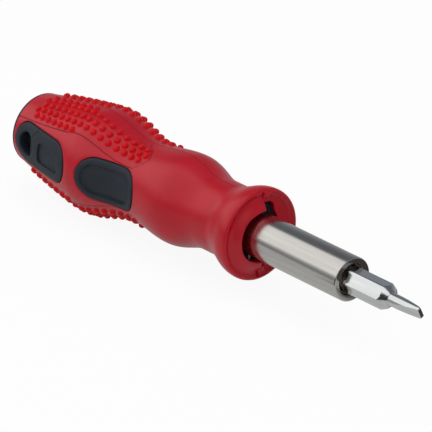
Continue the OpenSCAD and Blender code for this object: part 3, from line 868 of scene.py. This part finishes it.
def make_socket(name, side, node):
    """A hex socket: face ring with a lead-in, hex wall, end wall with a round hole, and its back."""
    face, back = -SOCKET_BACK, -SOCKET_BACK - SOCKET_LENGTH
    hexa = hexagon(BIT_AF + SOCKET_PLAY, SOCKET_CORNER)
    outer = TUBE_BORE - SOCKET_GAP
    wall = back + SOCKET_WALL
    rings = [(back, SOCKET_HOLE), (back, outer), (face - SOCKET_EDGE, outer), (face, outer - SOCKET_EDGE),
             (face, np.maximum(hexa, SOCKET_MOUTH)), (face - SOCKET_LEAD, hexa), (wall, hexa),
             (wall, SOCKET_HOLE), (back, SOCKET_HOLE)]
    shell = Shell()
    shell.add(turned(side, rings), ring=True, flip=side < 0)
    return make_piece(name, shell, SOCKET, "shaft", (node,), crisp=30)


def blade_ring(half_t):
    """Y and Z round a circle of the neck's radius cut flat at half_t, with points on the four corners."""
    corner = math.asin(min(half_t / NECK_R, 0.999))
    quarter = ROUND_COUNT // 4
    arc = np.linspace(0, corner, quarter // 2, endpoint=False)
    flat_y = np.linspace(math.cos(corner) * NECK_R, 0, quarter - quarter // 2, endpoint=False)
    y = np.concatenate([NECK_R * np.cos(arc), flat_y])
    z = np.concatenate([NECK_R * np.sin(arc), np.full(flat_y.size, half_t)])
    y = np.concatenate([y, [0.0], -y[:0:-1]])
    z = np.concatenate([z, [half_t], z[:0:-1]])
    return np.concatenate([y, -y]), np.concatenate([z, -z])


def cross_rings():
    """The cross-point end: a cone whose rings are drawn in at four places, less so toward the neck."""
    tip = -HEX_SEAT - BLADE_LENGTH
    cross = 1 - CROSS_CUT * np.abs(np.sin(2 * ROUND_TURN)) ** CROSS_SHARP
    rings = [(tip, 0.0), (tip, CROSS_TIP * cross), (tip + CROSS_ROUND, CROSS_SHOULDER * cross)]
    for share in CROSS_SHARES:
        depth = 1 - (1 - cross) * (1 - share) * 1.1
        rings.append((tip + CROSS_CONE * share, (CROSS_SHOULDER + (NECK_R - CROSS_SHOULDER) * share) * depth))
    return rings + [(tip + CROSS_CONE, NECK_R), (-HEX_SEAT, NECK_R)]


def make_bit(name, side, node, body):
    """A double-ended bit: cross point, hex body with conical shoulders and a ring groove, flat blade.

    A shoulder is the hexagon cut by a cone from FACE_R out to its corners.
    """
    hexa = hexagon(BIT_AF, BIT_ROUND)
    ring_x = -SOCKET_BACK - (SOCKET_LENGTH - SOCKET_WALL) / 2
    bottom = BIT_AF / 2 - GROOVE_IN
    cone = [(SHOULDER * share, np.minimum(hexa, FACE_R + (BIT_ROUND - FACE_R) * share))
            for share in np.linspace(0, 1, 9)]
    rings = cross_rings()
    rings += [(step - HEX_SEAT, r) for step, r in cone]
    rings += [(ring_x - GROOVE_HALF, hexa), (ring_x - GROOVE_HALF, bottom), (ring_x + GROOVE_HALF, bottom),
              (ring_x + GROOVE_HALF, hexa)]
    rings += [(HEX_SHOW - step, r) for step, r in cone[::-1]]
    rings += [(HEX_SHOW, NECK_R + NECK_FILLET), (HEX_SHOW + NECK_FILLET, NECK_R * 0.995),
              (HEX_SHOW + NECK_FILLET, 0.0)]
    shell = Shell()
    shell.add(turned(side, rings), ring=True, flip=side < 0)
    shell.add(blade_loops(side), ring=True, flip=side < 0)
    return make_piece(name, shell, CHROME, body, (node,), crisp=28)


def blade_loops(side):
    """The neck and blade: rings of blade_ring that get thinner toward the tip, turned about the long axis.

    Half thickness falls in a straight line from NECK_R to BLADE_HALF; the width is even, and its
    corners at the tip follow a quarter circle.
    """
    full = NECK_R * 0.9985
    tip = HEX_SHOW + BLADE_LENGTH
    start = tip - BLADE_GRIND
    rows = [(HEX_SHOW - 1, 0.0, 0.0), (HEX_SHOW - 1, full, 1.0), (start, full, 1.0)]
    rows += [(start + share * BLADE_GRIND, full + (BLADE_HALF - full) * share, 1.0) for share in BLADE_SHARES]
    for a in np.radians((0, 22, 45, 68, 82)):
        left, gone = 1 - math.sin(a), 1 - math.cos(a)
        rows.append((tip - BLADE_CORNER * left, BLADE_HALF + 0.05 * left, 1 - BLADE_CORNER / NECK_R * gone))
    rows += [(tip, BLADE_HALF - 0.1, 0.6), (tip, 0.0, 0.0)]
    loops = []
    for at, half_t, wide in rows:
        y, z = blade_ring(max(half_t, 0.02))
        y, z = y * wide, z * (wide > 0)
        y, z = (y * math.cos(BLADE_TURN) - z * math.sin(BLADE_TURN),
                y * math.sin(BLADE_TURN) + z * math.cos(BLADE_TURN))
        loops.append(np.stack([np.full(y.size, float(end_of(side, at))), y, z], -1))
    return np.stack(loops)[:, ::-1]


make_grip()
make_nubs()
make_mid_pads()
make_rear_pads()
make_end_cap()
make_core_body()
make_tube()
make_socket("front_socket_insert", 1, "front_socket")
make_socket("rear_socket_insert", -1, "rear_socket")
make_bit("front_hex_bit", 1, "front_bit", "front_bit")
make_bit("rear_hex_bit", -1, "rear_bit", "rear_bit")

for node in ("front_bit_ring", "rear_bit_ring", "drive_pin", "snap_ring"):
    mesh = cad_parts[node].data
    mesh.materials.clear()
    mesh.materials.append(SPRING)


# Floor, light and camera

FLOOR_Z = -15.5
FLOOR_SIZE = 1500.0
# How white the floor is to the camera
FLOOR_WHITE = 0.92
# Its tone in reflections: dimmer toward the near side, and dark ahead of the handle and off the shaft's lane
FLOOR_MIRRORED = 0.5
FLOOR_DIM, FLOOR_DIM_FROM, FLOOR_DIM_TO = 0.2, -50, -120
LANE_MIDDLE, LANE_FROM, LANE_TO = 10, 18, 28
AHEAD_FROM, AHEAD_TO, AHEAD_DARK = 85, 100, 0.9
WHITE = (1, 1, 1, 1)
# The even sky that lights the tool
SKY = 0.55
# The room in reflections: the near soft box, the dim far side from horizon to overhead, the dark front
BOX_TONE = (1.0, 1.0, 0.99, 1)
HORIZON_TONE = (0.34, 0.355, 0.38, 1)
OVERHEAD_TONE = (0.12, 0.13, 0.15, 1)
FRONT_TONE = (0.05, 0.04, 0.04, 1)


def make_floor():
    """A flat pale square under the tool: near white to the camera, with the tool's shadow on it."""
    corners = FLOOR_SIZE * np.array([[-1, -1], [1, -1], [1, 1], [-1, 1]])
    points = np.column_stack([corners, np.full(4, FLOOR_Z)])
    mesh = bpy.data.meshes.new("floor")
    mesh.from_pydata((points * MM).tolist(), [], [(0, 1, 2, 3)])
    floor = bpy.data.objects.new("floor", mesh)
    bpy.context.scene.collection.objects.link(floor)
    surface = Surface("pale_floor", Roughness=0.9)
    surface.feed("Base Color", (0.8, 0.8, 0.8, 1))
    seen = surface.node("ShaderNodeLightPath", output="Is Camera Ray")
    mirrored = surface.node("ShaderNodeLightPath", output="Is Glossy Ray")
    glow = surface.tree.nodes.new("ShaderNodeEmission")
    along, across = (surface.node("ShaderNodeSeparateXYZ", {}, {0: surface.place()}, k) for k in (0, 1))
    level = across.remap(FLOOR_DIM_FROM * MM, FLOOR_DIM_TO * MM, FLOOR_MIRRORED, FLOOR_DIM)
    aside = (across + LANE_MIDDLE * MM).math("ABSOLUTE").remap(LANE_FROM * MM, LANE_TO * MM)
    level = level * (1 - aside * along.remap(AHEAD_FROM * MM, AHEAD_TO * MM) * AHEAD_DARK)
    grey = surface.node("ShaderNodeCombineColor", {}, {0: level, 1: level, 2: level})
    tone = surface.mix(mirrored, WHITE, grey)
    surface.tree.links.new(tone.socket, glow.inputs["Color"])
    both = surface.tree.nodes.new("ShaderNodeMixShader")
    surface.tree.links.new((seen * FLOOR_WHITE + mirrored).socket, both.inputs[0])
    surface.tree.links.new(surface.shader.outputs[0], both.inputs[1])
    surface.tree.links.new(glow.outputs[0], both.inputs[2])
    surface.tree.links.new(both.outputs[0], surface.tree.nodes["Material Output"].inputs["Surface"])
    mesh.materials.append(surface.material)


def make_world():
    """White for the camera and an even sky for the light.

    Reflections see a dim room with one wide soft box on the near side, lower toward the front.
    """
    world = bpy.data.worlds.new("studio")
    bpy.context.scene.world = world
    world.use_nodes = True
    room = Nodes(world.node_tree)
    background = room.tree.nodes["Background"]
    direction = room.node("ShaderNodeTexCoord", output="Generated")
    along, across, height = (room.node("ShaderNodeSeparateXYZ", {}, {0: direction}, k) for k in range(3))
    raised = height - along.remap(0.1, 0.7, 0.0, 0.4)
    box = raised.remap(0.08, 0.2) * across.remap(0.12, -0.03)
    far = room.mix(height.remap(0.05, 0.7), HORIZON_TONE, OVERHEAD_TONE)
    dim = room.mix(along.remap(0.1, 0.6) * across.remap(0.2, -0.2), far, FRONT_TONE)
    tone = room.mix(box, dim, BOX_TONE)
    mirrored = room.node("ShaderNodeLightPath", output="Is Glossy Ray")
    lit = room.mix(mirrored, (SKY, SKY, SKY, 1), tone)
    seen = room.node("ShaderNodeLightPath", output="Is Camera Ray")
    through = room.node("ShaderNodeLightPath", output="Is Transmission Ray")
    colour = room.mix((seen + through).clip(), lit, WHITE)
    room.tree.links.new(colour.socket, background.inputs["Color"])


def area_light(name, place, aim, width, height, watts):
    """A soft box at place, facing aim, both in millimetres."""
    lamp = bpy.data.lights.new(name, "AREA")
    lamp.shape = "RECTANGLE"
    lamp.size = width * MM
    lamp.size_y = height * MM
    lamp.energy = watts
    obj = bpy.data.objects.new(name, lamp)
    bpy.context.scene.collection.objects.link(obj)
    place, aim = Vector(place) * MM, Vector(aim) * MM
    obj.location = place
    obj.rotation_mode = "QUATERNION"
    obj.rotation_quaternion = (aim - place).to_track_quat("-Z", "Y")
    obj.visible_glossy = False
    return obj


# The camera, fitted to the photograph: direction round the tool, tilt, roll, distance and lens
CAMERA_AZIMUTH, CAMERA_HEIGHT, CAMERA_ROLL = 47.54, 21.80, 3.96
CAMERA_DISTANCE = 1391.4
CAMERA_LENS = 446.4
CAMERA_AIM = (60.0, 0.0, 0.0)
CAMERA_SLIDE = (2.92, -2.15)


def make_camera():
    """The camera looks at the aim point, slid across its own picture plane, and is rolled about its axis."""
    azimuth, height, roll = (math.radians(v) for v in (CAMERA_AZIMUTH, CAMERA_HEIGHT, CAMERA_ROLL))
    back = Vector((math.sin(azimuth) * math.cos(height), -math.cos(azimuth) * math.cos(height),
                   math.sin(height)))
    right = Vector((math.cos(azimuth), math.sin(azimuth), 0))
    up = back.cross(right)
    side = right * math.cos(roll) + up * math.sin(roll)
    top = up * math.cos(roll) - right * math.sin(roll)
    aim = Vector(CAMERA_AIM) + side * CAMERA_SLIDE[0] + top * CAMERA_SLIDE[1]
    data = bpy.data.cameras.new("camera")
    data.lens = CAMERA_LENS
    data.sensor_width = 36
    data.clip_start, data.clip_end = 0.05, 20
    camera = bpy.data.objects.new("camera", data)
    bpy.context.scene.collection.objects.link(camera)
    turn = Matrix((side, top, back)).transposed()
    camera.rotation_mode = "QUATERNION"
    camera.rotation_quaternion = turn.to_quaternion()
    camera.location = (aim + back * CAMERA_DISTANCE) * MM
    bpy.context.scene.camera = camera


make_floor()
make_world()
make_camera()
area_light("key_softbox", (-250, -225, 240), (60, 0, 0), 420, 420, 1.0)
area_light("overhead_softbox", (60, 40, 460), (60, 0, 0), 360, 360, 0.6)
area_light("front_softbox", (460, -140, 180), (80, 0, 0), 260, 260, 0.45)

bpy.context.scene.view_settings.view_transform = "Standard"
